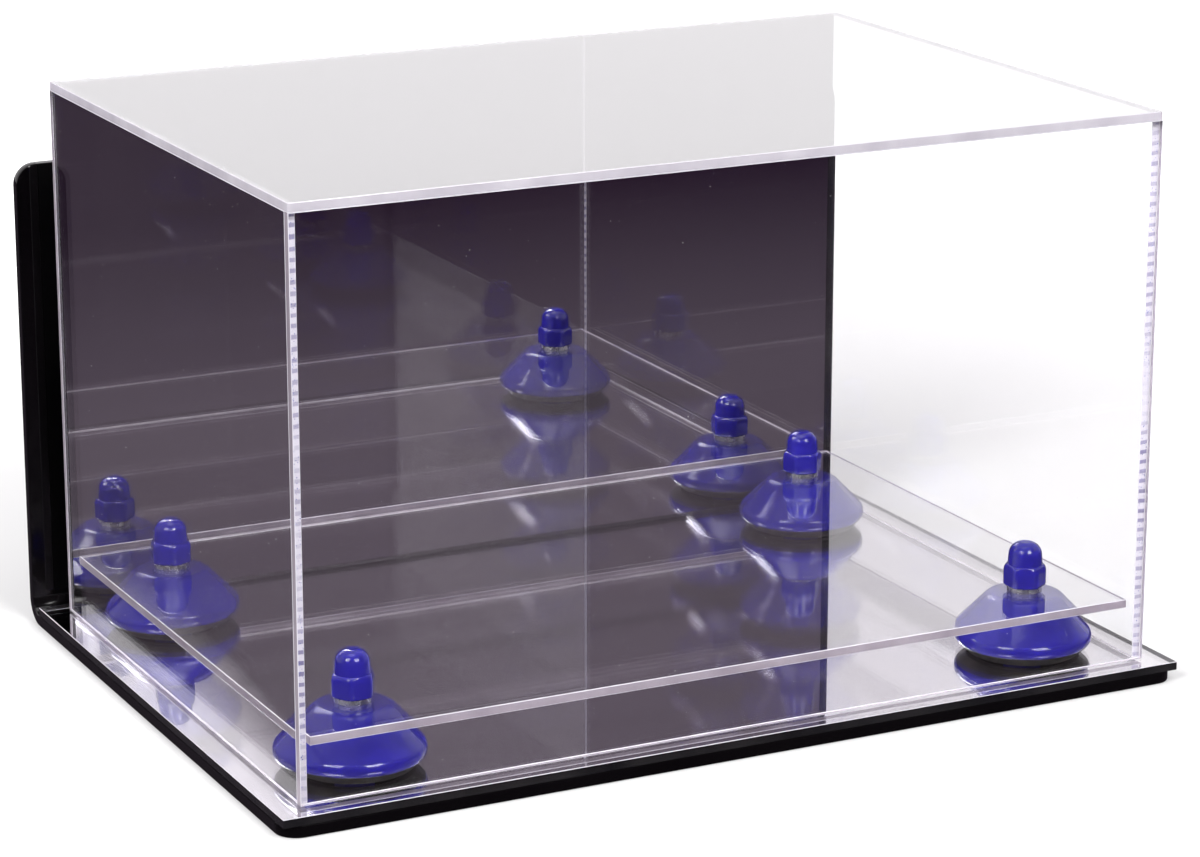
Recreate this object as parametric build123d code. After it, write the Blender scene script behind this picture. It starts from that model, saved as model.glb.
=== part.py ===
from build123d import *
import os

# Clear cover of glued panels that lifts off, with a mirrored back panel
cover_width = 310.0
cover_depth = 214.5
cover_height = 190.0
cover_sheet = 3.0

# Wall bracket, one bent sheet whose floor shows on all sides of the cover
bracket_sheet = 4.0
cover_side_margin = 9.0
cover_front_margin = 7.8
cover_rear_gap = 12.7
back_plate_height = 166.0
bend_inner_radius = 5.0
base_corner_radius = 7.0
top_corner_radius = 8.0

# Wall screw holes in the back plate, opened out on the front for the screw heads
wall_hole_diameter = 5.0
wall_hole_head_diameter = 9.6
wall_hole_side_inset = 37.0
wall_hole_top_inset = 34.0

# Mirrored plate that lies on the bracket
base_mirror_sheet = 3.0
base_mirror_bend_gap = 1.0

# Clear platform on four risers
platform_sheet = 3.0
platform_side_clearance = 2.0
platform_front_clearance = 1.75

# Dome shaped riser, hollow underneath with a boss around the screw
riser_height = 18.0
riser_rim_radius = 23.4
riser_foot_tuck = 3.9
riser_cone_run = 11.0
riser_rim_low = 3.6
riser_rim_high = 6.6
riser_rim_rounding = 3.2
riser_shoulder_rounding = 4.6
riser_foot_rounding = 0.8
riser_wall = 2.8
riser_boss_wall = 3.7
riser_edge_margin = 1.6

# Countersunk screw that clamps bracket, mirror, riser and platform together
screw_diameter = 6.0
screw_head_diameter = 11.6
screw_head_sunk = 0.2
screw_end_chamfer = 0.6
screw_clearance = 0.3
screw_stick_out = 5.4
hex_socket_width = 4.0
hex_socket_depth = 2.2
countersink_clearance = 0.15

# Washer and hexagon nut on the screw's end
washer_diameter = 12.0
washer_thickness = 1.6
washer_hole_clearance = 0.2
nut_width = 10.0
nut_height = 5.2
nut_corner_chamfer = 0.5
thread_running_clearance = 0.05

# Push on plastic cap over the nut and the screw's end
cap_nut_clearance = 0.1
cap_nut_headroom = 0.3
cap_skirt_wall = 1.55
cap_skirt_roof = 1.9
cap_skirt_top_rounding = 1.0
cap_corner_rounding = 1.2
cap_screw_clearance = 0.8
cap_screw_headroom = 3.1
cap_crown_wall = 1.3
cap_neck_wall = 2.1
cap_crown_rounding = 3.6
cap_top_wall = 1.8

# How far each tightened nut happens to be turned, in degrees, with its cap
nut_turns = {"front_left": 2.0, "front_right": 31.0, "back_left": 18.0, "back_right": 44.0}

# Levels above the bracket's underside
base_mirror_bottom = bracket_sheet
cover_bottom = base_mirror_bottom + base_mirror_sheet
platform_bottom = cover_bottom + riser_height
washer_bottom = platform_bottom + platform_sheet
nut_bottom = washer_bottom + washer_thickness
cap_bottom = nut_bottom
screw_end = nut_bottom + nut_height + screw_stick_out
wall_hole_height = back_plate_height - wall_hole_top_inset

# Places from front to back, with the origin in the middle of the bracket's floor
bracket_width = cover_width + 2 * cover_side_margin
bracket_depth = cover_front_margin + cover_depth + cover_rear_gap + bracket_sheet
bracket_front = -bracket_depth / 2
bracket_back = bracket_depth / 2
back_plate_front = bracket_back - bracket_sheet
cover_front_y = bracket_front + cover_front_margin
cover_middle_y = cover_front_y + cover_depth / 2
cover_back_y = cover_front_y + cover_depth
wall_height = cover_height - cover_sheet

# Platform that fits inside the cover, with a riser at each corner clear of its edges
inner_width = cover_width - 2 * cover_sheet
inner_depth = cover_depth - 2 * cover_sheet
platform_width = inner_width - 2 * platform_side_clearance
platform_depth = inner_depth - 2 * platform_front_clearance
riser_inset = riser_rim_radius + riser_edge_margin
riser_offset_x = platform_width / 2 - riser_inset
riser_offset_y = platform_depth / 2 - riser_inset

# Riser, screw and nut cap sized around each other
riser_foot_radius = riser_rim_radius - riser_foot_tuck
riser_top_radius = riser_rim_radius - riser_cone_run
screw_length = screw_end - screw_head_sunk
screw_head_depth = (screw_head_diameter - screw_diameter) / 2
riser_boss_radius = screw_diameter / 2 + screw_clearance + riser_boss_wall
cap_skirt_width = nut_width + 2 * (cap_nut_clearance + cap_skirt_wall)
cap_skirt_height = nut_height + cap_nut_headroom + cap_skirt_roof
cap_height = nut_height + screw_stick_out + cap_screw_headroom + cap_top_wall
cap_bore_radius = screw_diameter / 2 + cap_screw_clearance
cap_crown_radius = cap_bore_radius + cap_crown_wall
cap_neck_radius = cap_bore_radius + cap_neck_wall

# A hexagon's corners are this much further out than its flats
hexagon_corner_ratio = 2 / 3 ** 0.5

riser_places = {
    "front_left": (-riser_offset_x, cover_middle_y - riser_offset_y),
    "front_right": (riser_offset_x, cover_middle_y - riser_offset_y),
    "back_left": (-riser_offset_x, cover_middle_y + riser_offset_y),
    "back_right": (riser_offset_x, cover_middle_y + riser_offset_y),
}


def box(width, depth, height, x=0.0, y=0.0, z=0.0):
    """A block centred on x and y that stands on z."""
    block = Box(width, depth, height, align=(Align.CENTER, Align.CENTER, Align.MIN))
    return Pos(x, y, z) * block


def rod(radius, height, x=0.0, y=0.0, z=0.0):
    """An upright round rod that stands on z."""
    round_rod = Cylinder(radius, height, align=(Align.CENTER, Align.CENTER, Align.MIN))
    return Pos(x, y, z) * round_rod


def make_wall_bracket():
    """Floor, bend and back plate in one sheet, with the screw holes."""
    outer_radius = bend_inner_radius + bracket_sheet
    top = back_plate_height
    with BuildPart() as bracket:
        with BuildSketch(Plane.YZ.offset(-bracket_width / 2)):
            with BuildLine():
                Polyline(
                    (bracket_back - outer_radius, 0),
                    (bracket_front, 0),
                    (bracket_front, bracket_sheet),
                    (back_plate_front - bend_inner_radius, bracket_sheet),
                )
                CenterArc(
                    (back_plate_front - bend_inner_radius, bracket_sheet + bend_inner_radius),
                    bend_inner_radius, 270, 90,
                )
                Polyline(
                    (back_plate_front, bracket_sheet + bend_inner_radius),
                    (back_plate_front, top),
                    (bracket_back, top),
                    (bracket_back, outer_radius),
                )
                CenterArc((bracket_back - outer_radius, outer_radius), outer_radius, 270, 90)
            make_face()
        extrude(amount=bracket_width)
        upright = bracket.edges().filter_by(Axis.Z).group_by(Axis.Y)[0]
        fillet(upright, base_corner_radius)
        across = bracket.edges().filter_by(Axis.Y).group_by(Axis.Z)[-1]
        fillet(across, top_corner_radius)
    body = bracket.part
    for x, y in riser_places.values():
        body -= make_screw_hole(x, y)
    for side in (-1, 1):
        body -= make_wall_hole(side * (bracket_width / 2 - wall_hole_side_inset))
    return body


def make_screw_hole(x, y):
    """Clearance hole through the floor with a cone for the screw's head."""
    shank_radius = screw_diameter / 2 + screw_clearance
    head_radius = screw_head_diameter / 2 + countersink_clearance
    hole = rod(shank_radius, bracket_sheet, x, y, 0)
    well = rod(head_radius, screw_head_sunk, x, y, 0)
    cone_height = head_radius - shank_radius
    cone = Cone(head_radius, shank_radius, cone_height, align=(Align.CENTER, Align.CENTER, Align.MIN))
    return hole + well + Pos(x, y, screw_head_sunk) * cone


def make_wall_hole(x):
    """Countersunk hole through the back plate, opened out towards the front."""
    shank_radius = wall_hole_diameter / 2
    head_radius = wall_hole_head_diameter / 2
    cone_height = head_radius - shank_radius
    towards_back = Rot(-90, 0, 0)
    shank = Cylinder(shank_radius, bracket_sheet, align=(Align.CENTER, Align.CENTER, Align.MIN))
    cone = Cone(head_radius, shank_radius, cone_height, align=(Align.CENTER, Align.CENTER, Align.MIN))
    return Pos(x, back_plate_front, wall_hole_height) * (towards_back * (shank + cone))


def make_base_mirror():
    """Mirrored plate on the bracket's floor, short of the bend."""
    back_edge = back_plate_front - bend_inner_radius - base_mirror_bend_gap
    depth = back_edge - bracket_front
    middle = bracket_front + depth / 2
    plate = box(bracket_width, depth, base_mirror_sheet, 0, middle, base_mirror_bottom)
    for x, y in riser_places.values():
        plate -= rod(screw_diameter / 2 + screw_clearance, base_mirror_sheet, x, y, base_mirror_bottom)
    return plate


def make_cover_panels():
    """Five panels: the top lies over the walls and the front covers the side panels' ends."""
    side_depth = cover_depth - cover_sheet
    side_middle = cover_front_y + cover_sheet + side_depth / 2
    side_x = cover_width / 2 - cover_sheet / 2
    top_level = cover_bottom + wall_height
    front_middle = cover_front_y + cover_sheet / 2
    back_middle = cover_back_y - cover_sheet / 2
    return {
        "cover_front": box(cover_width, cover_sheet, wall_height, 0, front_middle, cover_bottom),
        "cover_left": box(cover_sheet, side_depth, wall_height, -side_x, side_middle, cover_bottom),
        "cover_right": box(cover_sheet, side_depth, wall_height, side_x, side_middle, cover_bottom),
        "cover_mirror_back": box(inner_width, cover_sheet, wall_height, 0, back_middle, cover_bottom),
        "cover_top": box(cover_width, cover_depth, cover_sheet, 0, cover_middle_y, top_level),
    }


def make_platform():
    """Clear plate that the risers carry, with a hole over each riser."""
    plate = box(platform_width, platform_depth, platform_sheet, 0, cover_middle_y, platform_bottom)
    for x, y in riser_places.values():
        plate -= rod(screw_diameter / 2 + screw_clearance, platform_sheet, x, y, platform_bottom)
    return plate


def make_riser():
    """Rounded rim, straight cone and rounded shoulder, hollow underneath around a boss."""
    with BuildPart() as riser:
        with BuildSketch(Plane.XZ):
            with BuildLine():
                Polyline(
                    (0, 0),
                    (riser_foot_radius, 0),
                    (riser_rim_radius, riser_rim_low),
                    (riser_rim_radius, riser_rim_high),
                    (riser_top_radius, riser_height),
                    (0, riser_height),
                    close=True,
                )
            make_face()
        revolve(axis=Axis.Z)
        rings = riser.edges().filter_by(GeomType.CIRCLE)
        low = [ring for ring in rings if abs(ring.center().Z - riser_rim_low) < 0.01]
        high = [ring for ring in rings if abs(ring.center().Z - riser_rim_high) < 0.01]
        shoulder = [ring for ring in rings if abs(ring.center().Z - riser_height) < 0.01]
        foot = [ring for ring in rings if abs(ring.center().Z) < 0.01]
        fillet(low + high, riser_rim_rounding)
        fillet(shoulder, riser_shoulder_rounding)
        fillet(foot, riser_foot_rounding)
    hollow_height = riser_height - riser_wall
    hollow_top_radius = riser_top_radius - riser_wall / 2
    hollow_foot_radius = riser_foot_radius - riser_wall
    slope_start = riser_rim_high - riser_wall / 2
    with BuildPart() as hollow:
        with BuildSketch(Plane.XZ):
            with BuildLine():
                Polyline(
                    (riser_boss_radius, 0),
                    (hollow_foot_radius, 0),
                    (riser_rim_radius - riser_wall, riser_rim_low),
                    (riser_rim_radius - riser_wall, slope_start),
                    (hollow_top_radius, hollow_height),
                    (riser_boss_radius, hollow_height),
                    close=True,
                )
            make_face()
        revolve(axis=Axis.Z)
    bore = rod(screw_diameter / 2 + screw_clearance, riser_height)
    return riser.part - hollow.part - bore


def make_screw():
    """Countersunk screw standing on its head, with a hexagon socket in the head."""
    head_radius = screw_head_diameter / 2
    shank_radius = screw_diameter / 2
    with BuildPart() as screw:
        with BuildSketch(Plane.XZ):
            with BuildLine():
                Polyline(
                    (0, 0),
                    (head_radius, 0),
                    (shank_radius, screw_head_depth),
                    (shank_radius, screw_length - screw_end_chamfer),
                    (shank_radius - screw_end_chamfer, screw_length),
                    (0, screw_length),
                    close=True,
                )
            make_face()
        revolve(axis=Axis.Z)
        with BuildSketch(Plane.XY):
            RegularPolygon(hex_socket_width / 2, 6, major_radius=False)
        extrude(amount=hex_socket_depth, mode=Mode.SUBTRACT)
    return screw.part


def make_washer():
    """Flat ring under the nut."""
    ring = rod(washer_diameter / 2, washer_thickness)
    return ring - rod(screw_diameter / 2 + washer_hole_clearance, washer_thickness)


def make_nut():
    """Hexagon nut with its corners chamfered by a cone on both faces."""
    corner_radius = nut_width / 2 * hexagon_corner_ratio
    with BuildPart() as nut:
        with BuildSketch():
            RegularPolygon(nut_width / 2, 6, major_radius=False)
        extrude(amount=nut_height)
    lathe_rod = rod(corner_radius, nut_height)
    rims = lathe_rod.edges().filter_by(GeomType.CIRCLE)
    lathe_rod = chamfer(rims, nut_corner_chamfer)
    bore = rod(screw_diameter / 2 + thread_running_clearance, nut_height)
    return (nut.part & lathe_rod) - bore


def make_nut_cap():
    """Hexagon skirt with a round tapered crown, hollow for the nut and the screw's end."""
    with BuildPart() as skirt:
        with BuildSketch():
            RegularPolygon(cap_skirt_width / 2, 6, major_radius=False)
        extrude(amount=cap_skirt_height)
        fillet(skirt.edges().filter_by(Axis.Z), cap_corner_rounding)
        rim = skirt.edges().group_by(Axis.Z)[-1]
        fillet(rim, cap_skirt_top_rounding)
    crown_height = cap_height - cap_skirt_height
    crown = Cone(cap_neck_radius, cap_crown_radius, crown_height,
                 align=(Align.CENTER, Align.CENTER, Align.MIN))
    top_ring = crown.edges().filter_by(GeomType.CIRCLE).sort_by(Axis.Z)[-1]
    crown = fillet(top_ring, cap_crown_rounding)
    body = skirt.part + Pos(0, 0, cap_skirt_height) * crown
    with BuildPart() as nut_room:
        with BuildSketch():
            RegularPolygon(nut_width / 2 + cap_nut_clearance, 6, major_radius=False)
        extrude(amount=nut_height + cap_nut_headroom)
    screw_room = rod(cap_bore_radius, cap_height - cap_top_wall)
    return body - nut_room.part - screw_room


riser = make_riser()
screw = make_screw()
washer = make_washer()
nut = make_nut()
nut_cap = make_nut_cap()

nodes = {
    "wall_bracket": make_wall_bracket(),
    "base_mirror": make_base_mirror(),
    "riser_platform": make_platform(),
}
nodes.update(make_cover_panels())
for corner, (x, y) in riser_places.items():
    nodes["riser_" + corner] = Pos(x, y, cover_bottom) * riser
    nodes["screw_" + corner] = Pos(x, y, screw_head_sunk) * screw
    nodes["washer_" + corner] = Pos(x, y, washer_bottom) * washer
    turned = Rot(0, 0, nut_turns[corner])
    nodes["nut_" + corner] = Pos(x, y, nut_bottom) * turned * nut
    nodes["nut_cap_" + corner] = Pos(x, y, cap_bottom) * turned * nut_cap

os.makedirs("parts", exist_ok=True)
for name, solid in nodes.items():
    solid.label = name
    export_step(solid, "parts/" + name + ".step")
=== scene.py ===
import math

import bmesh
import bpy
from mathutils import Matrix, Vector


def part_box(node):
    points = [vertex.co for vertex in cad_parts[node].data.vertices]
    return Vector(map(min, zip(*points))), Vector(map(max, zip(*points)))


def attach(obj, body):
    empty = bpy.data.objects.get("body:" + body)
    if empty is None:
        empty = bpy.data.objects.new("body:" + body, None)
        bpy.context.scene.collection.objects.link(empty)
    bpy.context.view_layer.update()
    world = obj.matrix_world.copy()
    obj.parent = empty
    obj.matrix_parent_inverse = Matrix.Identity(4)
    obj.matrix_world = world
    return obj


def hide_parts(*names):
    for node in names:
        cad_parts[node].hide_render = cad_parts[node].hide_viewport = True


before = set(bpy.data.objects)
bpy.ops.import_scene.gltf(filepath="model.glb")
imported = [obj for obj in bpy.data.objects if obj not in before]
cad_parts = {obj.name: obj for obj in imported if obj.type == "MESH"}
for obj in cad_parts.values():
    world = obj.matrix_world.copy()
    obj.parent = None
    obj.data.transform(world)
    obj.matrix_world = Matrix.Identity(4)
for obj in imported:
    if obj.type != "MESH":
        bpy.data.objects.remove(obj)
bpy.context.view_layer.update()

scene = bpy.context.scene

# Camera: a long lens at the front left, looking a little down on the case. Clear sheets need
# many bounces, because a ray crosses ten or more faces on its way through the case.
camera = bpy.data.objects.new("camera", bpy.data.cameras.new("camera"))
scene.collection.objects.link(camera)
scene.camera = camera
camera.data.sensor_width = 36.0
camera.data.lens = 117.75
camera.location = (-0.579, -1.1631, 0.448)
camera_turn = math.radians(26.618)
camera_tilt = math.radians(15.81)
level = math.cos(camera_tilt)
sight = Vector((math.sin(camera_turn) * level, math.cos(camera_turn) * level, -math.sin(camera_tilt)))
camera.rotation_mode = "QUATERNION"
camera.rotation_quaternion = sight.to_track_quat("-Z", "Y")
scene.view_settings.view_transform = "Standard"
scene.cycles.max_bounces = 32
scene.cycles.transmission_bounces = 32
scene.cycles.glossy_bounces = 16
scene.cycles.transparent_max_bounces = 32


# Cover walls: four sheets of clear acrylic, 3 mm thick, cut square and glued edge to edge with a
# thin solvent cement. The front one lies over the ends of the side ones, and the back one stands
# between them and is silvered on its back.
def start_group(name, kind, inputs, outputs):
    """An empty node group with named inputs, given as (name, socket type, value), and outputs."""
    group = bpy.data.node_groups.new(name, kind)
    for label, socket_type, value in inputs:
        socket = group.interface.new_socket(label, in_out="INPUT", socket_type=socket_type)
        if value is not None:
            socket.default_value = value
    for label, socket_type in outputs:
        group.interface.new_socket(label, in_out="OUTPUT", socket_type=socket_type)
    entry = group.nodes.new("NodeGroupInput")
    end = group.nodes.new("NodeGroupOutput")
    return group, group.nodes, group.links, entry, end


def make_clouding():
    """Soft uneven patches, as in wiped, moulded or plated surfaces, spread from Low to High."""
    inputs = [
        ("Scale", "NodeSocketFloat", 20.0),
        ("Stretch", "NodeSocketVector", (1.0, 1.0, 1.0)),
        ("Low", "NodeSocketFloat", 0.0),
        ("High", "NodeSocketFloat", 1.0),
    ]
    group, nodes, links, entry, end = start_group(
        "clouding", "ShaderNodeTree", inputs, [("Amount", "NodeSocketFloat")])
    coords = nodes.new("ShaderNodeTexCoord")
    stretched = nodes.new("ShaderNodeVectorMath")
    stretched.operation = "MULTIPLY"
    noise = nodes.new("ShaderNodeTexNoise")
    noise.inputs["Detail"].default_value = 4.0
    spread = nodes.new("ShaderNodeMapRange")
    spread.inputs["From Min"].default_value = 0.3
    spread.inputs["From Max"].default_value = 0.7
    links.new(coords.outputs["Object"], stretched.inputs[0])
    links.new(entry.outputs["Stretch"], stretched.inputs[1])
    links.new(stretched.outputs["Vector"], noise.inputs["Vector"])
    links.new(entry.outputs["Scale"], noise.inputs["Scale"])
    links.new(noise.outputs["Fac"], spread.inputs["Value"])
    links.new(entry.outputs["Low"], spread.inputs["To Min"])
    links.new(entry.outputs["High"], spread.inputs["To Max"])
    links.new(spread.outputs["Result"], end.inputs["Amount"])
    return group


clouding = make_clouding()


def new_material(name):
    """An empty material, its nodes and links, and its Principled shader."""
    material = bpy.data.materials.new(name)
    material.use_nodes = True
    nodes = material.node_tree.nodes
    return material, nodes, material.node_tree.links, nodes["Principled BSDF"]


def add_clouding(nodes, **values):
    """The clouding group placed in a material with that material's own values."""
    placed = nodes.new("ShaderNodeGroup")
    placed.node_tree = clouding
    for label, value in values.items():
        placed.inputs[label].default_value = value
    return placed.outputs["Amount"]


def colour_between(nodes, links, amount, first, second):
    """A mix of two colours. The mix node's colour sockets go by number, because others share a name."""
    mix = nodes.new("ShaderNodeMix")
    mix.data_type = "RGBA"
    links.new(amount, mix.inputs[0])
    mix.inputs[6].default_value = (*first, 1)
    mix.inputs[7].default_value = (*second, 1)
    return mix.outputs[2]


def choose_shader(nodes, links, switch, off, on):
    mix = nodes.new("ShaderNodeMixShader")
    links.new(switch, mix.inputs[0])
    links.new(off, mix.inputs[1])
    links.new(on, mix.inputs[2])
    return mix.outputs["Shader"]


acrylic_ior = 1.49


def make_clear(name, coat, sheen):
    """Polished clear acrylic. Lamps shine straight through it, so what it covers is lit."""
    material, nodes, links, shader = new_material(name)
    tone = add_clouding(nodes, Scale=11.0)
    tint = colour_between(nodes, links, tone, (0.986, 0.982, 0.99), (0.998, 0.996, 1.0))
    links.new(tint, shader.inputs["Base Color"])
    shader.inputs["Roughness"].default_value = 0.0
    shader.inputs["Transmission Weight"].default_value = 1.0
    shader.inputs["IOR"].default_value = acrylic_ior
    shader.inputs["Coat Weight"].default_value = coat
    shader.inputs["Coat Roughness"].default_value = 0.01
    shader.inputs["Sheen Weight"].default_value = sheen
    shader.inputs["Sheen Roughness"].default_value = 0.4
    path = nodes.new("ShaderNodeLightPath")
    through = nodes.new("ShaderNodeBsdfTransparent")
    surface = choose_shader(nodes, links, path.outputs["Is Shadow Ray"],
                            shader.outputs["BSDF"], through.outputs["BSDF"])
    links.new(surface, nodes["Material Output"].inputs["Surface"])
    return material


def make_cut_edge(name, dark, pale, glow):
    """A sawn and scraped edge of sheet, with fine upright marks. Glow is how much light it lets out."""
    material, nodes, links, shader = new_material(name)
    marks = add_clouding(nodes, Scale=55.0, Stretch=(1.0, 1.0, 0.25))
    links.new(colour_between(nodes, links, marks, dark, pale), shader.inputs["Base Color"])
    links.new(add_clouding(nodes, Scale=300.0, Low=0.1, High=0.25), shader.inputs["Roughness"])
    shader.inputs["Transmission Weight"].default_value = glow
    shader.inputs["IOR"].default_value = acrylic_ior
    bump = nodes.new("ShaderNodeBump")
    bump.inputs["Strength"].default_value = 0.1
    bump.inputs["Distance"].default_value = 0.0001
    links.new(marks, bump.inputs["Height"])
    links.new(bump.outputs["Normal"], shader.inputs["Normal"])
    return material


def make_glue():
    """The cement seen through the sheet: milky white, with blue dashes where it drew in air."""
    material, nodes, links, shader = new_material("glue")
    coords = nodes.new("ShaderNodeTexCoord")
    dashes = nodes.new("ShaderNodeTexWave")
    dashes.bands_direction = "Z"
    dashes.inputs["Scale"].default_value = 92.0
    dashes.inputs["Distortion"].default_value = 1.6
    dashes.inputs["Detail"].default_value = 1.0
    links.new(coords.outputs["Object"], dashes.inputs["Vector"])
    gaps = nodes.new("ShaderNodeMapRange")
    gaps.inputs["From Min"].default_value = 0.55
    gaps.inputs["From Max"].default_value = 0.75
    links.new(dashes.outputs["Fac"], gaps.inputs["Value"])
    patches = nodes.new("ShaderNodeMath")
    patches.operation = "MULTIPLY"
    links.new(gaps.outputs["Result"], patches.inputs[0])
    links.new(add_clouding(nodes, Scale=30.0, Low=0.1, High=1.0), patches.inputs[1])
    milky_white = (0.54, 0.52, 0.58)
    air_blue = (0.09, 0.07, 0.21)
    links.new(colour_between(nodes, links, patches.outputs["Value"], milky_white, air_blue),
              shader.inputs["Base Color"])
    shader.inputs["Roughness"].default_value = 0.4
    return material


def make_silver():
    """Silvering seen through the sheet, and the grey paint that protects it, seen from behind."""
    material, nodes, links, silver = new_material("silvering")
    patches = add_clouding(nodes, Scale=7.0)
    links.new(colour_between(nodes, links, patches, (0.94, 0.93, 0.95), (0.97, 0.96, 0.98)),
              silver.inputs["Base Color"])
    silver.inputs["Roughness"].default_value = 0.0
    silver.inputs["Metallic"].default_value = 1.0
    paint = nodes.new("ShaderNodeBsdfPrincipled")
    grain = add_clouding(nodes, Scale=350.0)
    links.new(colour_between(nodes, links, grain, (0.15, 0.16, 0.18), (0.20, 0.21, 0.23)),
              paint.inputs["Base Color"])
    paint.inputs["Roughness"].default_value = 0.5
    geometry = nodes.new("ShaderNodeNewGeometry")
    surface = choose_shader(nodes, links, geometry.outputs["Backfacing"],
                            paint.outputs["BSDF"], silver.outputs["BSDF"])
    links.new(surface, nodes["Material Output"].inputs["Surface"])
    return material


clear_wall = make_clear("clear_wall", coat=0.0, sheen=0.0)
cut_edge = make_cut_edge("cut_edge", (0.31, 0.265, 0.32), (0.47, 0.42, 0.48), glow=0.4)
# Painted highlight: the eased corners of the sheets are pale and opaque, standing for the bright line
# of light along each rounded corner.
painted_edge_highlight = make_cut_edge("painted_edge_highlight", (0.55, 0.53, 0.58), (0.64, 0.62, 0.67), glow=0.0)
mirror_edge = make_cut_edge("mirror_edge", (0.003, 0.003, 0.004), (0.014, 0.013, 0.014), glow=0.0)
top_edge = make_cut_edge("top_edge", (0.47, 0.44, 0.50), (0.64, 0.61, 0.67), glow=0.4)
side_seam = make_cut_edge("side_seam", (0.04, 0.04, 0.05), (0.28, 0.27, 0.31), glow=0.0)
glue = make_glue()
silver = make_silver()
quarters = ((1, -1), (1, 1), (-1, 1), (-1, -1))
quarter_arc_handle = 0.5523
same_place = 1e-6
level_or_upright = 0.9999


def corner_points(half_x, half_y, radius):
    """The outline of a rectangle with round corners: points with the handles that shape its arcs."""
    if radius == 0:
        return [(Vector((sx * half_x, sy * half_y)),) * 3 for sx, sy in quarters]
    reach = radius * quarter_arc_handle
    points = []
    for sx, sy in quarters:
        beside = Vector((sx * (half_x - radius), sy * half_y))
        above = Vector((sx * half_x, sy * (half_y - radius)))
        along_x = Vector((sx * reach, 0))
        along_y = Vector((0, sy * reach))
        pair = [(beside, beside - along_x, beside + along_x), (above, above + along_y, above - along_y)]
        points += pair if sx * sy < 0 else [(p, b, a) for p, a, b in reversed(pair)]
    return points


def cut_sheet(name, size, ease, radius=0.0, holes=()):
    """A sheet lying on z = 0, with round corners, (x, y, radius) holes and eased edges."""
    curve = bpy.data.curves.new(name, "CURVE")
    curve.dimensions = "2D"
    curve.fill_mode = "BOTH"
    curve.extrude = size.z / 2 - ease
    curve.bevel_depth = ease
    curve.offset = -ease
    curve.bevel_resolution = 1
    curve.resolution_u = 16
    rings = [corner_points(size.x / 2, size.y / 2, radius)]
    for x, y, drilled in holes:
        ring = corner_points(drilled, drilled, drilled)
        rings.append([tuple(Vector((x, y)) + part for part in point) for point in ring[::2]])
    for ring in rings:
        spline = curve.splines.new("BEZIER")
        spline.bezier_points.add(len(ring) - 1)
        spline.use_cyclic_u = True
        for point, (at, before, after) in zip(spline.bezier_points, ring):
            point.handle_left_type = point.handle_right_type = "FREE"
            point.co = (*at, 0)
            point.handle_left = (*before, 0)
            point.handle_right = (*after, 0)
    shape = bpy.data.objects.new(name, curve)
    scene.collection.objects.link(shape)
    mesh = bpy.data.meshes.new_from_object(shape.evaluated_get(bpy.context.evaluated_depsgraph_get()))
    bpy.data.objects.remove(shape)
    mesh.name = name
    mesh.transform(Matrix.Translation((0, 0, size.z / 2)))
    joined = bmesh.new()
    joined.from_mesh(mesh)
    bmesh.ops.remove_doubles(joined, verts=joined.verts, dist=same_place)
    bmesh.ops.dissolve_degenerate(joined, dist=same_place, edges=joined.edges)
    bmesh.ops.recalc_face_normals(joined, faces=joined.faces)
    joined.to_mesh(mesh)
    joined.free()
    return mesh


def place(name, mesh, looks, body, nodes=(), angle=35, choose=None):
    """Makes a piece of a mesh that lies in its place. Choose picks a look by each face's normal."""
    mesh.materials.clear()
    for look in looks:
        mesh.materials.append(look)
    mesh.set_sharp_from_angle(angle=math.radians(angle))
    for face in mesh.polygons:
        face.use_smooth = max(abs(part) for part in face.normal) < level_or_upright
        face.material_index = looks.index(choose(face.normal)) if choose else 0
    piece = bpy.data.objects.new(name, mesh)
    scene.collection.objects.link(piece)
    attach(piece, body)
    if nodes:
        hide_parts(*nodes)
    return piece


def node_box(node):
    return (Vector(corner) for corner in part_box(node))


ease = 0.0002
film = 0.00002
x_axis = 0
y_axis = 1


def place_wall(name, node, normal_axis, ends_glued, choose):
    """A wall sheet cut to its node's box, less the film of glue or air where it meets another."""
    low, high = node_box(node)
    low.z += film
    high.z -= film
    run_axis = x_axis if normal_axis == y_axis else y_axis
    if ends_glued:
        low[run_axis] += film
        high[run_axis] -= film
    size = high - low
    mesh = cut_sheet(name, Vector((size[run_axis], size.z, size[normal_axis])), ease)
    upright = Matrix.Rotation(math.radians(90), 4, "X")
    middle = (low + high) / 2
    if normal_axis == y_axis:
        mesh.transform(Matrix.Translation((middle.x, high.y, middle.z)) @ upright)
    else:
        sideways = Matrix.Rotation(math.radians(90), 4, "Z") @ upright
        mesh.transform(Matrix.Translation((low.x, middle.y, middle.z)) @ sideways)
    looks = [clear_wall, cut_edge, painted_edge_highlight, glue, silver, mirror_edge, side_seam]
    place(name, mesh, looks, "cover", (node,), choose=choose)


square = 0.99


def front_faces(normal):
    if max(abs(part) for part in normal) < square:
        return painted_edge_highlight
    if abs(normal.y) > square:
        return clear_wall
    return glue if normal.z > square else cut_edge


def side_faces(normal):
    if max(abs(part) for part in normal) < square:
        return painted_edge_highlight
    if abs(normal.x) > square:
        return clear_wall
    if normal.z > square:
        return side_seam
    return glue if normal.y < -square else cut_edge


def mirror_faces(normal):
    if normal.y > square:
        return silver
    return clear_wall if normal.y < -square else mirror_edge


place_wall("front_panel", "cover_front", y_axis, False, front_faces)
place_wall("left_panel", "cover_left", x_axis, True, side_faces)
place_wall("right_panel", "cover_right", x_axis, True, side_faces)
place_wall("back_mirror", "cover_mirror_back", y_axis, True, mirror_faces)

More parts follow.
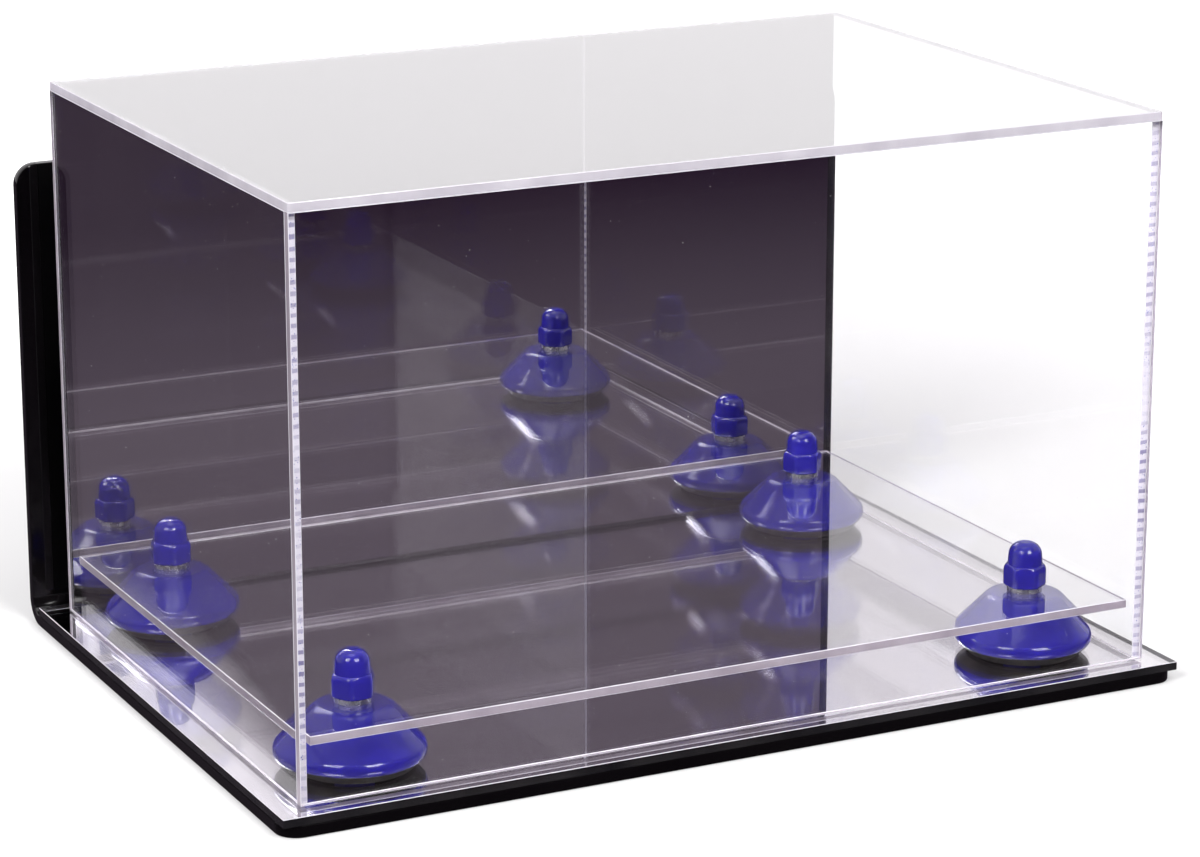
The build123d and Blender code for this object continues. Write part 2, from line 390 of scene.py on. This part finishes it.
# Cover top: a sheet of the same clear acrylic, glued on the upper edges of all four walls. It
# gathers a film of dust and wipe marks, which shows where the sheet is seen at a low angle.
clear_top = make_clear("clear_top", coat=1.0, sheen=0.35)
low, high = node_box("cover_top")
top_corner_radius = 0.0008
top_mesh = cut_sheet("top_panel", high - low, ease, top_corner_radius)
top_mesh.transform(Matrix.Translation(((low.x + high.x) / 2, (low.y + high.y) / 2, low.z)))
nearly_upright = 0.1


def sheet_faces(face_look, edge_look):
    """Chooses between the looks of a level sheet's two faces, its cut edges and its eased corners."""
    def choose(normal):
        if abs(normal.z) > square:
            return face_look
        # Eased corners get the pale, opaque painted highlight.
        return edge_look if abs(normal.z) < nearly_upright else painted_edge_highlight
    return choose


place("top_panel", top_mesh, [clear_top, top_edge, painted_edge_highlight], "cover", ("cover_top",),
      choose=sheet_faces(clear_top, top_edge))

# Cover seams: where the cement ran in, tiny flat bubbles stayed between the sheets. They are
# scattered over the glued strips from a fixed seed.
narrowest_share = 0.35
widest_share = 1.0


def make_scatter():
    """Geometry nodes that strew flat specks over faces, and join them into one mesh.

    The random value's sockets go by number, because each of its kinds of value has its own.
    """
    inputs = [
        ("Faces", "NodeSocketGeometry", None),
        ("Specks per square metre", "NodeSocketFloat", 1000.0),
        ("Radius", "NodeSocketFloat", 0.0001),
        ("Flatness", "NodeSocketFloat", 0.5),
        ("Seed", "NodeSocketInt", 1),
        ("Look", "NodeSocketMaterial", None),
    ]
    tree, nodes, links, entry, end = start_group(
        "scatter", "GeometryNodeTree", inputs, [("Specks", "NodeSocketGeometry")])
    points = nodes.new("GeometryNodeDistributePointsOnFaces")
    speck = nodes.new("GeometryNodeMeshIcoSphere")
    speck.inputs["Subdivisions"].default_value = 1
    width = nodes.new("FunctionNodeRandomValue")
    width.inputs[2].default_value = narrowest_share
    width.inputs[3].default_value = widest_share
    height = nodes.new("ShaderNodeMath")
    height.operation = "MULTIPLY"
    scale = nodes.new("ShaderNodeCombineXYZ")
    copies = nodes.new("GeometryNodeInstanceOnPoints")
    real = nodes.new("GeometryNodeRealizeInstances")
    painted = nodes.new("GeometryNodeSetMaterial")
    links.new(entry.outputs["Faces"], points.inputs["Mesh"])
    links.new(entry.outputs["Specks per square metre"], points.inputs["Density"])
    links.new(entry.outputs["Seed"], points.inputs["Seed"])
    links.new(entry.outputs["Radius"], speck.inputs["Radius"])
    links.new(entry.outputs["Seed"], width.inputs["Seed"])
    links.new(width.outputs[1], height.inputs[0])
    links.new(entry.outputs["Flatness"], height.inputs[1])
    links.new(width.outputs[1], scale.inputs["X"])
    links.new(width.outputs[1], scale.inputs["Y"])
    links.new(height.outputs["Value"], scale.inputs["Z"])
    links.new(points.outputs["Points"], copies.inputs["Points"])
    links.new(points.outputs["Rotation"], copies.inputs["Rotation"])
    links.new(speck.outputs["Mesh"], copies.inputs["Instance"])
    links.new(scale.outputs["Vector"], copies.inputs["Scale"])
    links.new(copies.outputs["Instances"], real.inputs["Geometry"])
    links.new(real.outputs["Geometry"], painted.inputs["Geometry"])
    links.new(entry.outputs["Look"], painted.inputs["Material"])
    links.new(painted.outputs["Geometry"], end.inputs["Specks"])
    return tree


def run_tree(name, mesh, tree, values):
    """The plain mesh that a geometry node tree makes of a mesh with the named inputs set."""
    shape = bpy.data.objects.new(name, mesh)
    scene.collection.objects.link(shape)
    modifier = shape.modifiers.new(name, "NODES")
    modifier.node_group = tree
    for socket in tree.interface.items_tree:
        if socket.in_out == "INPUT" and socket.name in values:
            modifier[socket.identifier] = values[socket.name]
    made = bpy.data.meshes.new_from_object(shape.evaluated_get(bpy.context.evaluated_depsgraph_get()))
    shape.modifiers.clear()
    bpy.data.objects.remove(shape)
    made.name = name
    return made


def make_strips(name, strips):
    """A mesh of one rectangle for each (middle, half of one side, half of the other side)."""
    mesh = bpy.data.meshes.new(name)
    places, faces = [], []
    for middle, u, v in strips:
        first = len(places)
        places += [middle - u - v, middle + u - v, middle + u + v, middle - u + v]
        faces.append(tuple(range(first, first + 4)))
    mesh.from_pydata(places, [], faces)
    return mesh


scatter = make_scatter()
bubble_look, nodes, links, shader = new_material("glue_bubble")
tone = add_clouding(nodes, Scale=500.0)
links.new(colour_between(nodes, links, tone, (0.06, 0.07, 0.27), (0.4, 0.4, 0.6)),
          shader.inputs["Base Color"])
shader.inputs["Roughness"].default_value = 0.25
left_low, left_high = node_box("cover_left")
right_low, right_high = node_box("cover_right")
mirror_low, mirror_high = node_box("cover_mirror_back")
front_low, front_high = node_box("cover_front")
inset = 0.0003
half_strip = (left_high.x - left_low.x) / 2 - inset
rise = Vector((0, 0, (left_high.z - left_low.z) / 2 - inset))
run = Vector((0, (left_high.y - left_low.y) / 2 - inset, 0))
middle_z = (left_low.z + left_high.z) / 2
mirror_y = (mirror_low.y + mirror_high.y) / 2
top_seam = left_high.z - film / 2
across_x = Vector((half_strip, 0, 0))
across_y = Vector((0, half_strip, 0))
strips = []
for x in ((left_low.x + left_high.x) / 2, (right_low.x + right_high.x) / 2):
    strips.append((Vector((x, left_low.y + film / 2, middle_z)), across_x, rise))
    strips.append((Vector((x, (left_low.y + left_high.y) / 2, top_seam)), across_x, run))
for x in (left_high.x + film / 2, right_low.x - film / 2):
    strips.append((Vector((x, mirror_y, middle_z)), across_y, rise))
for y in ((front_low.y + front_high.y) / 2, mirror_y):
    strips.append((Vector((0, y, top_seam)), Vector((mirror_high.x, 0, 0)), across_y))
bubble_values = {
    "Specks per square metre": 5e5, "Radius": 0.00024, "Flatness": 0.03, "Seed": 3, "Look": bubble_look,
}
bubbles = run_tree("seam_bubbles", make_strips("seams", strips), scatter, bubble_values)
place("seam_bubbles", bubbles, [bubble_look], "cover", ())

# Base mirror: a 3 mm sheet of acrylic silvered underneath, so that what stands on it is a little
# off its own reflection. The four screws hold it down. Its edges are black with backing paint.
screw_places = {}
for corner in ("front_left", "front_right", "back_left", "back_right"):
    low, high = node_box("screw_" + corner)
    screw_places[corner] = (low + high) / 2
hole_radius = 0.0033
clear_plate = make_clear("clear_plate", coat=0.0, sheen=0.0)


def place_plate(name, node, looks, choose):
    """A level plate with the four screw holes, cut to its node's box less a film at both faces."""
    low, high = node_box(node)
    low.z += film
    high.z -= film
    middle = (low + high) / 2
    holes = [(at.x - middle.x, at.y - middle.y, hole_radius) for at in screw_places.values()]
    mesh = cut_sheet(name, high - low, ease, holes=holes)
    mesh.transform(Matrix.Translation((middle.x, middle.y, low.z)))
    place(name, mesh, looks, "base", (node,), choose=choose)


def base_faces(normal):
    if abs(normal.z) > square:
        return clear_plate if normal.z > 0 else silver
    # The upper eased corner of the black edge gets the painted highlight, a thin bright line.
    return painted_edge_highlight if normal.z > nearly_upright else mirror_edge


place_plate("base_plate", "base_mirror", [clear_plate, silver, mirror_edge, painted_edge_highlight], base_faces)

# Platform: a sheet of clear acrylic that lies on the four risers and carries what is shown. Its
# cut edges look pinkish grey between two bright lines, painted highlights on the eased corners.
clear_platform = make_clear("clear_platform", coat=0.35, sheen=0.0)
place_plate("platform", "riser_platform", [clear_platform, cut_edge, painted_edge_highlight],
            sheet_faces(clear_platform, cut_edge))

# Wall bracket: one sheet of glossy black acrylic, 4 mm thick, cut flat with its screw holes and
# round corners, then heated along a line and bent up to a right angle.
black_sheet, nodes, links, shader = new_material("black_sheet")
tone = add_clouding(nodes, Scale=18.0)
links.new(colour_between(nodes, links, tone, (0.0004, 0.0003, 0.0004), (0.0012, 0.001, 0.0012)),
          shader.inputs["Base Color"])
links.new(add_clouding(nodes, Scale=120.0, Low=0.02, High=0.09), shader.inputs["Roughness"])
shader.inputs["IOR"].default_value = acrylic_ior
shader.inputs["Specular IOR Level"].default_value = 0.35
low, high = node_box("wall_bracket")
bracket_thick = 0.004
inner_bend = 0.005
outer_bend = bracket_thick + inner_bend
corner_radius = 0.0075
floor_run = high.y - outer_bend - low.y
bend_run = (inner_bend + bracket_thick / 2) * math.pi / 2
rise_run = high.z - low.z - outer_bend
half_run = (floor_run + bend_run + rise_run) / 2
wall_hole_x = 0.127
wall_hole_z = 0.132
wall_hole_radius = 0.0025
screw_head_radius = 0.00595
wall_head_radius = 0.0048
bracket_ease = 0.0004
floor_holes = [(at.x, at.y - low.y - half_run, hole_radius) for at in screw_places.values()]
wall_hole_run = floor_run + bend_run + wall_hole_z - outer_bend - half_run
wall_holes = [(x, wall_hole_run, wall_hole_radius) for x in (-wall_hole_x, wall_hole_x)]
flat_size = Vector((high.x - low.x, 2 * half_run, bracket_thick))
bracket_mesh = cut_sheet("bracket_sheet", flat_size, bracket_ease, corner_radius,
                         floor_holes + wall_holes)
bracket = bmesh.new()
bracket.from_mesh(bracket_mesh)
bend_steps = 16
for step in range(bend_steps + 1):
    everything = bracket.verts[:] + bracket.edges[:] + bracket.faces[:]
    line = Vector((0, floor_run + bend_run * step / bend_steps - half_run, 0))
    bmesh.ops.bisect_plane(bracket, geom=everything, plane_co=line, plane_no=(0, 1, 0))

# The rim of each hole is widened to the screw's head on one face, which makes the hole a cone.
countersinks = [(*hole, 0.0, screw_head_radius) for hole in floor_holes]
countersinks += [(*hole, bracket_thick, wall_head_radius) for hole in wall_holes]
hole_rim_width = 2 * bracket_ease
hole_rim_depth = 1.5 * bracket_ease
for vert in bracket.verts:
    for x, y, drilled, face_z, head_radius in countersinks:
        away = Vector((vert.co.x - x, vert.co.y - y))
        depth = abs(vert.co.z - face_z)
        if away.length < drilled + hole_rim_width and depth < hole_rim_depth:
            away = away.normalized() * (head_radius - depth)
            vert.co.x = x + away.x
            vert.co.y = y + away.y

# The flat sheet is laid along the floor, round the bend and up the wall.
for vert in bracket.verts:
    run = vert.co.y + half_run
    height = vert.co.z
    if run <= floor_run:
        vert.co.y = low.y + run
    elif run <= floor_run + bend_run:
        turn = (run - floor_run) / bend_run * math.pi / 2
        vert.co.y = low.y + floor_run + (outer_bend - height) * math.sin(turn)
        vert.co.z = outer_bend - (outer_bend - height) * math.cos(turn)
    else:
        vert.co.y = high.y - height
        vert.co.z = outer_bend + run - floor_run - bend_run
bmesh.ops.recalc_face_normals(bracket, faces=bracket.faces)
bracket.to_mesh(bracket_mesh)
bracket.free()
place("bracket_sheet", bracket_mesh, [black_sheet], "base", ("wall_bracket",))

# Risers: four domes moulded in glossy blue plastic, hollow underneath around the boss that the
# screw passes through. Each has a round rim, a straight cone and a soft shoulder. Below the rim
# the downward faces carry a painted shade: a dull, nearly black copy of the plastic.
blue_plastic, nodes, links, shader = new_material("blue_plastic")
tone = add_clouding(nodes, Scale=70.0)
links.new(colour_between(nodes, links, tone, (0.009, 0.007, 0.142), (0.012, 0.009, 0.172)),
          shader.inputs["Base Color"])
links.new(add_clouding(nodes, Scale=160.0, Low=0.07, High=0.13), shader.inputs["Roughness"])
shader.inputs["IOR"].default_value = 1.5
bump = nodes.new("ShaderNodeBump")
bump.inputs["Strength"].default_value = 0.06
bump.inputs["Distance"].default_value = 0.0002
links.new(add_clouding(nodes, Scale=220.0), bump.inputs["Height"])
links.new(bump.outputs["Normal"], shader.inputs["Normal"])
# Painted shade: a dull, nearly black copy of the blue plastic for the shaded underside of each dome.
painted_shade_underside, nodes, links, shader = new_material("painted_shade_underside")
tone = add_clouding(nodes, Scale=120.0)
links.new(colour_between(nodes, links, tone, (0.004, 0.003, 0.0025), (0.012, 0.009, 0.0075)),
          shader.inputs["Base Color"])
links.new(add_clouding(nodes, Scale=250.0, Low=0.45, High=0.7), shader.inputs["Roughness"])
shader.inputs["Specular IOR Level"].default_value = 0.2
riser_low, riser_high = node_box("riser_front_left")
riser_height = riser_high.z - riser_low.z
rim_radius = (riser_high.x - riser_low.x) / 2
foot_inset = 0.0039
foot_radius = rim_radius - foot_inset
top_inset = 0.011
top_radius = rim_radius - top_inset
bore_radius = 0.0033
boss_radius = 0.007
boss_chamfer = 0.0003
riser_wall = 0.0028
inner_radius = rim_radius - riser_wall
inner_slant = 0.0014
foot_wall = 0.0023
foot_chamfer = 0.0002
rim_low = 0.0036
rim_high = 0.0066
outer_roundings = [0.0031, 0.0033, 0.0046]
underside_tilt = -0.55


def rounded_path(corners, radii, steps=10):
    """An outline through (radius, height) corners, each inner one rounded by its own radius."""
    path = [Vector(corners[0])]
    for before, at, after, radius in zip(corners, corners[1:], corners[2:], radii):
        at = Vector(at)
        back = (Vector(before) - at).normalized()
        ahead = (Vector(after) - at).normalized()
        half_angle = back.angle(ahead) / 2
        centre = at + (back + ahead).normalized() * (radius / math.sin(half_angle))
        start = at + back * (radius / math.tan(half_angle)) - centre
        sweep = start.angle_signed(at + ahead * (radius / math.tan(half_angle)) - centre)
        for step in range(steps + 1):
            path.append(centre + Matrix.Rotation(-sweep * step / steps, 2) @ start)
    path.append(Vector(corners[-1]))
    return path


def turn_mesh(name, outline, around, closed, reach=None):
    """A solid turned about the z axis: a closed outline makes a ring, an open one ends on the axis."""
    built = bmesh.new()
    rings = []
    for radius, height in outline:
        if radius < same_place:
            rings.append([built.verts.new((0, 0, height))] * around)
            continue
        angles = [2 * math.pi * step / around for step in range(around)]
        lengths = [reach(radius, height, angle) if reach else radius for angle in angles]
        places = [(r * math.cos(a), r * math.sin(a), height) for r, a in zip(lengths, angles)]
        rings.append([built.verts.new(at) for at in places])
    pairs = list(zip(rings, rings[1:] + rings[:1]))
    for below, above in pairs if closed else pairs[:-1]:
        for step in range(around):
            after = (step + 1) % around
            quad = (below[step], below[after], above[after], above[step])
            corners = list(dict.fromkeys(quad))
            if len(corners) > 2:
                built.faces.new(corners)
    bmesh.ops.recalc_face_normals(built, faces=built.faces)
    mesh = bpy.data.meshes.new(name)
    built.to_mesh(mesh)
    built.free()
    return mesh


outer_path = rounded_path(
    [(foot_radius, 0), (rim_radius, rim_low), (rim_radius, rim_high), (top_radius, riser_height),
     (bore_radius, riser_height)], outer_roundings)
inner_top = riser_height - riser_wall
inner_path = [
    Vector((bore_radius, 0)), Vector((boss_radius - boss_chamfer, 0)),
    Vector((boss_radius, boss_chamfer)), Vector((boss_radius, inner_top)),
    Vector((top_radius - inner_slant, inner_top)), Vector((inner_radius, rim_high - inner_slant)),
    Vector((inner_radius, rim_low)), Vector((foot_radius - riser_wall, foot_chamfer)),
    Vector((foot_radius - foot_wall, 0)),
]
dome_mesh = turn_mesh("dome", inner_path + outer_path, around=128, closed=True)


def make_corner_set():
    """Geometry nodes that set one copy of a piece at each of four corners and join them."""
    inputs = [
        ("Piece", "NodeSocketGeometry", None),
        ("Row length", "NodeSocketFloat", 0.25),
        ("Row spacing", "NodeSocketFloat", 0.15),
        ("Middle", "NodeSocketVector", (0.0, 0.0, 0.0)),
        ("Look", "NodeSocketMaterial", None),
    ]
    tree, nodes, links, entry, end = start_group(
        "corner_set", "GeometryNodeTree", inputs, [("Pieces", "NodeSocketGeometry")])
    grid = nodes.new("GeometryNodeMeshGrid")
    grid.inputs["Vertices X"].default_value = 2
    grid.inputs["Vertices Y"].default_value = 2
    moved = nodes.new("GeometryNodeTransform")
    copies = nodes.new("GeometryNodeInstanceOnPoints")
    real = nodes.new("GeometryNodeRealizeInstances")
    painted = nodes.new("GeometryNodeSetMaterial")
    links.new(entry.outputs["Row length"], grid.inputs["Size X"])
    links.new(entry.outputs["Row spacing"], grid.inputs["Size Y"])
    links.new(grid.outputs["Mesh"], moved.inputs["Geometry"])
    links.new(entry.outputs["Middle"], moved.inputs["Translation"])
    links.new(moved.outputs["Geometry"], copies.inputs["Points"])
    links.new(entry.outputs["Piece"], copies.inputs["Instance"])
    links.new(copies.outputs["Instances"], real.inputs["Geometry"])
    links.new(real.outputs["Geometry"], painted.inputs["Geometry"])
    links.new(entry.outputs["Look"], painted.inputs["Material"])
    links.new(painted.outputs["Geometry"], end.inputs["Pieces"])
    return tree


first = screw_places["front_left"]
last = screw_places["back_right"]
corner_values = {
    "Row length": last.x - first.x, "Row spacing": last.y - first.y,
    "Middle": ((first.x + last.x) / 2, (first.y + last.y) / 2, riser_low.z), "Look": blue_plastic,
}
domes = run_tree("riser_domes", dome_mesh, make_corner_set(), corner_values)


def dome_faces(normal):
    # Faces tipped further down than this get the painted shade.
    return painted_shade_underside if normal.z < underside_tilt else blue_plastic


place("riser_domes", domes, [blue_plastic, painted_shade_underside], "base",
      ["riser_" + corner for corner in screw_places], choose=dome_faces)

# Nut caps: soft moulded plastic, pushed on over the nuts. A hexagon skirt grips the nut, and a
# shoulder draws it in to a round neck with a domed crown.
cap_low, cap_high = node_box("nut_cap_front_left")
cap_height = cap_high.z - cap_low.z
half_flats = 0.00665
corner_round = 0.0024
skirt_reach = 0.0067
neck_radius = 0.0060
crown_radius = 0.0054
skirt_height = 0.0078
shoulder = 0.0024
socket_radius = 0.0053
socket_height = 0.0055
bore = 0.0038
crown_wall = 0.0018
crown_rounding = 0.0044
round_within = 0.0064
nut_turns = {"front_left": 2.0, "front_right": 31.0, "back_left": 18.0, "back_right": 44.0}


def hexagon_reach(half, angle):
    """How far a hexagon with round corners reaches from its middle at an angle."""
    from_corner = abs((angle + math.pi / 6) % (math.pi / 3) - math.pi / 6)
    centre = (half - corner_round) / math.cos(math.pi / 6)
    blend = math.atan2(centre / 2, half)
    if from_corner < math.pi / 6 - blend:
        across = centre * math.sin(from_corner)
        return centre * math.cos(from_corner) + math.sqrt(corner_round ** 2 - across ** 2)
    return half / math.cos(math.pi / 6 - from_corner)


def cap_reach(radius, height, angle):
    """The skirt's rings follow the hexagon, which turns into the round neck over the shoulder."""
    if radius < round_within:
        return radius
    hexagon = hexagon_reach(half_flats - skirt_reach + radius, angle)
    climb = max(0.0, min(1.0, (height - skirt_height + shoulder) / shoulder))
    return neck_radius + (hexagon - neck_radius) * math.sqrt(1 - climb * climb)


shoulder_steps = 12
hem = 0.001
hem_steps = 4
mouth_chamfer = 0.0002
cap_path = [
    Vector((0, cap_height - crown_wall)), Vector((bore, cap_height - crown_wall)),
    Vector((bore, socket_height)), Vector((socket_radius, socket_height)),
    Vector((socket_radius, mouth_chamfer)), Vector((socket_radius + mouth_chamfer, 0)),
]
for step in range(hem_steps + 1):
    turn = step / hem_steps * math.pi / 2
    cap_path.append(Vector((skirt_reach - hem + hem * math.sin(turn), hem - hem * math.cos(turn))))
cap_path.append(Vector((skirt_reach, skirt_height - shoulder)))
for step in range(1, shoulder_steps):
    rise_share = math.sin(step / shoulder_steps * math.pi / 2)
    cap_path.append(Vector((skirt_reach, skirt_height - shoulder + shoulder * rise_share)))
crown_corners = [(neck_radius, skirt_height), (crown_radius, cap_height), (0, cap_height)]
cap_path += rounded_path(crown_corners, [crown_rounding], steps=14)
cap_mesh = turn_mesh("cap", cap_path, around=144, closed=False, reach=cap_reach)
for corner, at in screw_places.items():
    mesh = cap_mesh.copy()
    turned = Matrix.Rotation(math.radians(nut_turns[corner]), 4, "Z")
    mesh.transform(Matrix.Translation((at.x, at.y, cap_low.z)) @ turned)
    place("cap_" + corner, mesh, [blue_plastic], "nut_cap_" + corner, ("nut_cap_" + corner,),
          angle=50)

# Screws, nuts and washers: zinc plated steel, a little dull, with faint grey clouds in the plating.
# Each countersunk screw comes up through the plates from below, to a washer and a nut.
zinc, nodes, links, shader = new_material("zinc_steel")
tone = add_clouding(nodes, Scale=260.0)
links.new(colour_between(nodes, links, tone, (0.33, 0.33, 0.32), (0.5, 0.49, 0.47)),
          shader.inputs["Base Color"])
links.new(add_clouding(nodes, Scale=400.0, Low=0.18, High=0.34), shader.inputs["Roughness"])
shader.inputs["Metallic"].default_value = 1.0
for corner in screw_places:
    for kind in ("screw_", "nut_", "washer_"):
        for material_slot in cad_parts[kind + corner].material_slots:
            material_slot.material = zinc

# Dust: a few pale flecks on the clear sheets and on the base mirror, as on any acrylic case. They
# are strewn from fixed seeds over the faces where dust settles or clings.
dust_look, nodes, links, shader = new_material("dust")
tone = add_clouding(nodes, Scale=300.0)
links.new(colour_between(nodes, links, tone, (0.45, 0.43, 0.43), (0.62, 0.61, 0.61)),
          shader.inputs["Base Color"])
shader.inputs["Roughness"].default_value = 0.9
clear_of_edge = 0.004


def face_strip(low, high, axis, at):
    """The rectangle of a box at one value of one axis, kept clear of its edges."""
    middle = (low + high) / 2
    middle[axis] = at
    half = (high - low) / 2 - Vector((clear_of_edge,) * 3)
    u_axis, v_axis = [other for other in range(3) if other != axis]
    u = Vector((0, 0, 0))
    v = Vector((0, 0, 0))
    u[u_axis] = half[u_axis]
    v[v_axis] = half[v_axis]
    return middle, u, v


top_low, top_high = node_box("cover_top")
z_axis = 2
cover_faces = [
    face_strip(left_low, left_high, x_axis, left_low.x),
    face_strip(left_low, left_high, x_axis, left_high.x),
    face_strip(front_low, front_high, y_axis, front_low.y),
    face_strip(right_low, right_high, x_axis, right_high.x),
    face_strip(top_low, top_high, z_axis, top_low.z),
]
base_low, base_high = node_box("base_mirror")
platform_low, platform_high = node_box("riser_platform")
level_faces = [
    face_strip(base_low, base_high, z_axis, base_high.z),
    face_strip(platform_low, platform_high, z_axis, platform_high.z),
]
for body, faces, seed in (("cover", cover_faces, 11), ("base", level_faces, 12)):
    values = {
        "Specks per square metre": 1400.0, "Radius": 0.00017, "Flatness": 0.3, "Seed": seed,
        "Look": dust_look,
    }
    flecks = run_tree("dust_on_" + body, make_strips("dusty_" + body, faces), scatter, values)
    place("dust_on_" + body, flecks, [dust_look], body)

# Floor: pale and plain, lit by the lamps, with the case's soft shadow on it. Seen directly or through
# the clear sheets it also has a painted glow, weak near the case and white further away. The mirrors
# see a painted reflection in its place: a dark glow for the floor of a room in front of the case,
# darker further out. From below it is see-through, so that the underside of the case shows.
floor_half = 4.0
floor_gap = 0.0001
floor_strip = (Vector((0, 0, -floor_gap)), Vector((floor_half, 0, 0)), Vector((0, floor_half, 0)))
floor = bpy.data.objects.new("floor", make_strips("floor", [floor_strip]))
scene.collection.objects.link(floor)
floor_look, nodes, links, shader = new_material("floor")
shader.inputs["Base Color"].default_value = (0.64, 0.64, 0.64, 1)
shader.inputs["Roughness"].default_value = 0.9
shader.inputs["Specular IOR Level"].default_value = 0.0
coords = nodes.new("ShaderNodeTexCoord")
from_case = nodes.new("ShaderNodeVectorMath")
from_case.operation = "LENGTH"
links.new(coords.outputs["Object"], from_case.inputs[0])
# Painted glow, weak near the case and full further away.
painted_glow_strength = nodes.new("ShaderNodeMapRange")
painted_glow_strength.inputs["From Min"].default_value = 0.22
painted_glow_strength.inputs["From Max"].default_value = 0.8
painted_glow_strength.inputs["To Min"].default_value = 0.12
painted_glow_strength.inputs["To Max"].default_value = 1.0
links.new(from_case.outputs["Value"], painted_glow_strength.inputs["Value"])
painted_glow = nodes.new("ShaderNodeEmission")
links.new(painted_glow_strength.outputs["Result"], painted_glow.inputs["Strength"])
lit_and_glowing = nodes.new("ShaderNodeAddShader")
links.new(shader.outputs["BSDF"], lit_and_glowing.inputs[0])
links.new(painted_glow.outputs["Emission"], lit_and_glowing.inputs[1])
split = nodes.new("ShaderNodeSeparateXYZ")
links.new(coords.outputs["Object"], split.inputs["Vector"])
ahead = nodes.new("ShaderNodeMapRange")
ahead.inputs["From Min"].default_value = -0.5
ahead.inputs["From Max"].default_value = -0.12
links.new(split.outputs["Y"], ahead.inputs["Value"])
# Painted reflection: a dark glow that the mirrors see in place of the lit floor.
dark = nodes.new("ShaderNodeEmission")
painted_far_floor = (0.018, 0.009, 0.02)
painted_near_floor = (0.085, 0.068, 0.088)
links.new(colour_between(nodes, links, ahead.outputs["Result"], painted_far_floor, painted_near_floor),
          dark.inputs["Color"])
path = nodes.new("ShaderNodeLightPath")
mirrored = nodes.new("ShaderNodeMath")
mirrored.operation = "GREATER_THAN"
between_none_and_one = 0.5
mirrored.inputs[1].default_value = between_none_and_one
links.new(path.outputs["Glossy Depth"], mirrored.inputs[0])
seen = choose_shader(nodes, links, path.outputs["Is Diffuse Ray"],
                     lit_and_glowing.outputs["Shader"], shader.outputs["BSDF"])
above = choose_shader(nodes, links, mirrored.outputs["Value"], seen, dark.outputs["Emission"])
below = nodes.new("ShaderNodeNewGeometry")
clear = nodes.new("ShaderNodeBsdfTransparent")
surface = choose_shader(nodes, links, below.outputs["Backfacing"], above, clear.outputs["BSDF"])
links.new(surface, nodes["Material Output"].inputs["Surface"])
floor.data.materials.append(floor_look)

# Studio: white all round for what is seen directly. Reflections and bounced light show a white wall
# behind the case, and in front of it a dim room with one round white card, above the case's level
# and a little to the right.
world = bpy.data.worlds.new("studio")
scene.world = world
world.use_nodes = True
nodes = world.node_tree.nodes
links = world.node_tree.links
room = nodes["Background"]
coords = nodes.new("ShaderNodeTexCoord")
split = nodes.new("ShaderNodeSeparateXYZ")
links.new(coords.outputs["Generated"], split.inputs["Vector"])
towards_wall = nodes.new("ShaderNodeMapRange")
towards_wall.inputs["From Min"].default_value = -0.3
towards_wall.inputs["From Max"].default_value = 0.2
links.new(split.outputs["Y"], towards_wall.inputs["Value"])
towards_card = nodes.new("ShaderNodeVectorMath")
towards_card.operation = "DOT_PRODUCT"
card_direction = (0.187, -0.879, 0.438)
towards_card.inputs[1].default_value = card_direction
links.new(coords.outputs["Generated"], towards_card.inputs[0])
card = nodes.new("ShaderNodeMapRange")
card.inputs["From Min"].default_value = 0.982
card.inputs["From Max"].default_value = 0.985
links.new(towards_card.outputs["Value"], card.inputs["Value"])
bright = nodes.new("ShaderNodeMath")
bright.operation = "MAXIMUM"
links.new(towards_wall.outputs["Result"], bright.inputs[0])
links.new(card.outputs["Result"], bright.inputs[1])
dim_room = (0.12, 0.10, 0.12)
lit_white = (1.0, 0.975, 1.0)
links.new(colour_between(nodes, links, bright.outputs["Value"], dim_room, lit_white),
          room.inputs["Color"])
wall = nodes.new("ShaderNodeBackground")
wall.inputs["Color"].default_value = (1, 1, 1, 1)
path = nodes.new("ShaderNodeLightPath")
bounces = nodes.new("ShaderNodeMath")
links.new(path.outputs["Glossy Depth"], bounces.inputs[0])
links.new(path.outputs["Diffuse Depth"], bounces.inputs[1])
bounced = nodes.new("ShaderNodeMath")
bounced.operation = "GREATER_THAN"
bounced.inputs[1].default_value = between_none_and_one
links.new(bounces.outputs["Value"], bounced.inputs[0])
surface = choose_shader(nodes, links, bounced.outputs["Value"],
                        wall.outputs["Background"], room.outputs["Background"])
links.new(surface, nodes["World Output"].inputs["Surface"])
lamp_aim = Vector((0, 0, 0.08))


def add_softbox(name, azimuth, elevation, distance, size, power):
    """A square lamp behind a diffuser, turned towards the case."""
    lamp = bpy.data.lights.new(name, "AREA")
    lamp.size = size
    lamp.energy = power
    stand = bpy.data.objects.new(name, lamp)
    turn = math.radians(azimuth)
    tilt = math.radians(elevation)
    away = Vector((math.sin(turn) * math.cos(tilt), -math.cos(turn) * math.cos(tilt), math.sin(tilt)))
    stand.location = lamp_aim + away * distance
    stand.rotation_mode = "QUATERNION"
    stand.rotation_quaternion = (-away).to_track_quat("-Z", "Y")
    scene.collection.objects.link(stand)


add_softbox("left_softbox", azimuth=-60, elevation=38, distance=1.8, size=0.72, power=23)
add_softbox("right_softbox", azimuth=8, elevation=38, distance=1.8, size=0.72, power=23)
add_softbox("top_softbox", azimuth=-20, elevation=82, distance=1.7, size=0.9, power=6)
